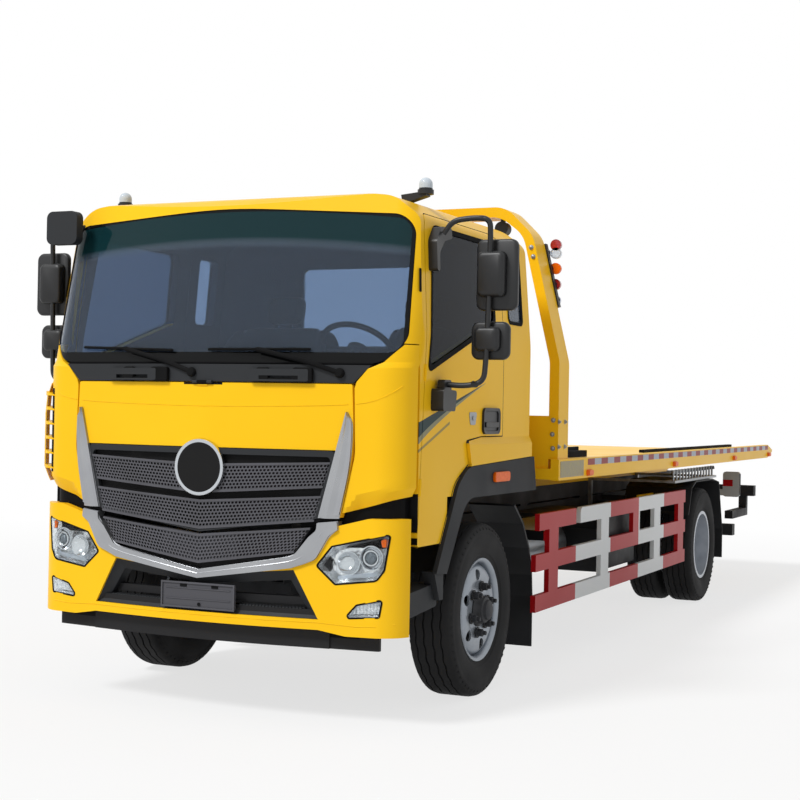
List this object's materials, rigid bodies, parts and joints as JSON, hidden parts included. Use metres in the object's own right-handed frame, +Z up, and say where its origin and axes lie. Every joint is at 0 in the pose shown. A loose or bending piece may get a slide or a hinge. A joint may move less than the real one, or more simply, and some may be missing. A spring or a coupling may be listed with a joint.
{
  "type": "tow truck",
  "caption": "Cab-over flatbed recovery truck with a sliding, tilting bed, winch, hoop headboard, wheel lift and twin rear wheels.",
  "frame": {"origin": "on the ground under the middle of the truck's length and width", "axes": "+Y to the rear, so the cab faces -Y; +X to the truck's left side; +Z up"},
  "size_m": [3.15, 9.496, 2.988],
  "materials": {
    "yellow_paint": "gloss",
    "red_paint": "satin",
    "chassis_black": "satin",
    "steel_grey": "satin",
    "dark_plastic": "matte",
    "grille_grey": "satin",
    "silver_plastic": "gloss",
    "tyre_rubber": "matte",
    "wheel_silver": "satin",
    "clear_glass": "clear",
    "lamp_lens": "clear",
    "cast_metal": "rough",
    "tank_metal": "brushed",
    "chrome_rod": "polished",
    "seat_fabric": "woven",
    "rope_steel": "brushed"
  },
  "bodies": {
    "truck": {"chassis_frame": "chassis_black", "engine": "cast_metal", "driveline": "chassis_black", "front_axle": "chassis_black", "rear_axle": "chassis_black", "fuel_tank": "tank_metal", "side_boxes": "chassis_black", "side_guards": "red_paint", "mudguards": "dark_plastic", "bumper": "yellow_paint", "bumper_trim": "silver_plastic", "lower_grille": "grille_grey", "front_lamps": "lamp_lens", "fenders": "dark_plastic", "cab_shell": "yellow_paint", "cab_glass": "clear_glass", "corner_panels": "yellow_paint", "cowl": "dark_plastic", "dashboard": "dark_plastic", "seats": "seat_fabric", "beacons": "lamp_lens", "rear_lamps": "steel_grey", "lever_bank": "steel_grey"},
    "knuckle_left": {"knuckle_left": "cast_metal"},
    "knuckle_right": {"knuckle_right": "cast_metal"},
    "wheel_front_left": {"tyre_front_left": "tyre_rubber", "rim_front_left": "wheel_silver"},
    "wheel_front_right": {"tyre_front_right": "tyre_rubber", "rim_front_right": "wheel_silver"},
    "wheels_rear_left": {"tyres_rear_left": "tyre_rubber", "rims_rear_left": "wheel_silver"},
    "wheels_rear_right": {"tyres_rear_right": "tyre_rubber", "rims_rear_right": "wheel_silver"},
    "door_left": {"door_left": "yellow_paint", "door_glass_left": "clear_glass", "mirrors_left": "dark_plastic"},
    "door_right": {"door_right": "yellow_paint", "door_glass_right": "clear_glass", "mirrors_right": "dark_plastic"},
    "front_flap": {"front_panel": "yellow_paint", "grille": "grille_grey", "grille_blades": "silver_plastic"},
    "tilt_frame": {"tilt_frame": "chassis_black"},
    "tilt_barrels": {"tilt_barrels": "chassis_black"},
    "tilt_rods": {"tilt_rods": "chrome_rod"},
    "bed": {"bed_deck": "yellow_paint", "headboard": "yellow_paint", "bed_lamps": "lamp_lens", "winch_frame": "chassis_black"},
    "winch_drum": {"winch_drum": "rope_steel"},
    "lift_boom": {"lift_boom": "chassis_black"},
    "lift_crossbar": {"lift_crossbar": "chassis_black"}
  },
  "joints": [
    {"name": "steer_left", "type": "hinge", "parent": "truck", "child": "knuckle_left", "pos_m": [0.8, -3.42, 0.505], "axis": [0, 0, 1], "range_deg": [-35, 35]},
    {"name": "steer_right", "type": "hinge", "parent": "truck", "child": "knuckle_right", "pos_m": [-0.8, -3.42, 0.505], "axis": [0, 0, 1], "range_deg": [-35, 35]},
    {"name": "wheel_front_left", "type": "hinge", "parent": "knuckle_left", "child": "wheel_front_left", "pos_m": [0.985, -3.42, 0.505], "axis": [1, 0, 0], "continuous": true},
    {"name": "wheel_front_right", "type": "hinge", "parent": "knuckle_right", "child": "wheel_front_right", "pos_m": [-0.985, -3.42, 0.505], "axis": [1, 0, 0], "continuous": true},
    {"name": "wheels_rear_left", "type": "hinge", "parent": "truck", "child": "wheels_rear_left", "pos_m": [0.918, 1.78, 0.505], "axis": [1, 0, 0], "continuous": true},
    {"name": "wheels_rear_right", "type": "hinge", "parent": "truck", "child": "wheels_rear_right", "pos_m": [-0.918, 1.78, 0.505], "axis": [1, 0, 0], "continuous": true},
    {"name": "door_left", "type": "hinge", "parent": "truck", "child": "door_left", "pos_m": [1.147, -4.458, 0.945], "axis": [0, -0.0737, -0.9973], "range_deg": [0, 70]},
    {"name": "door_right", "type": "hinge", "parent": "truck", "child": "door_right", "pos_m": [-1.147, -4.458, 0.945], "axis": [0, 0.0737, 0.9973], "range_deg": [0, 70]},
    {"name": "front_flap", "type": "hinge", "parent": "truck", "child": "front_flap", "pos_m": [0, -4.73675, 1.788], "axis": [-1, 0, 0], "range_deg": [0, 60]},
    {"name": "bed_tilt", "type": "hinge", "parent": "truck", "child": "tilt_frame", "pos_m": [0, 3.58, 0.9], "axis": [-1, 0, 0], "range_deg": [0, 15]},
    {"name": "bed_slide", "type": "slide", "parent": "tilt_frame", "child": "bed", "axis": [0, 1, 0], "range_m": [0, 3.7]},
    {"name": "tilt_barrels", "type": "hinge", "parent": "truck", "child": "tilt_barrels", "pos_m": [0, 1.68, 0.78], "axis": [1, 0, 0], "range_deg": [0, 8]},
    {"name": "tilt_rods", "type": "slide", "parent": "tilt_barrels", "child": "tilt_rods", "axis": [0, 0.979, 0.204], "range_m": [0, 0.11]},
    {"name": "winch_drum", "type": "hinge", "parent": "bed", "child": "winch_drum", "pos_m": [0, -1.92, 1.49], "axis": [1, 0, 0], "continuous": true},
    {"name": "lift_hinge", "type": "hinge", "parent": "tilt_frame", "child": "lift_boom", "pos_m": [0, 3.71, 0.85], "axis": [1, 0, 0], "range_deg": [-25, 0]},
    {"name": "lift_extend", "type": "slide", "parent": "lift_boom", "child": "lift_crossbar", "axis": [0, 1, 0], "range_m": [0, 0.38]}
  ],
  "couplings": [
    {"joint": "steer_right", "follows": "steer_left", "ratio": 1},
    {"joint": "tilt_barrels", "follows": "bed_tilt", "ratio": 0.4791},
    {"joint": "tilt_rods", "follows": "bed_tilt", "m_per_rad": 0.3727}
  ]
}
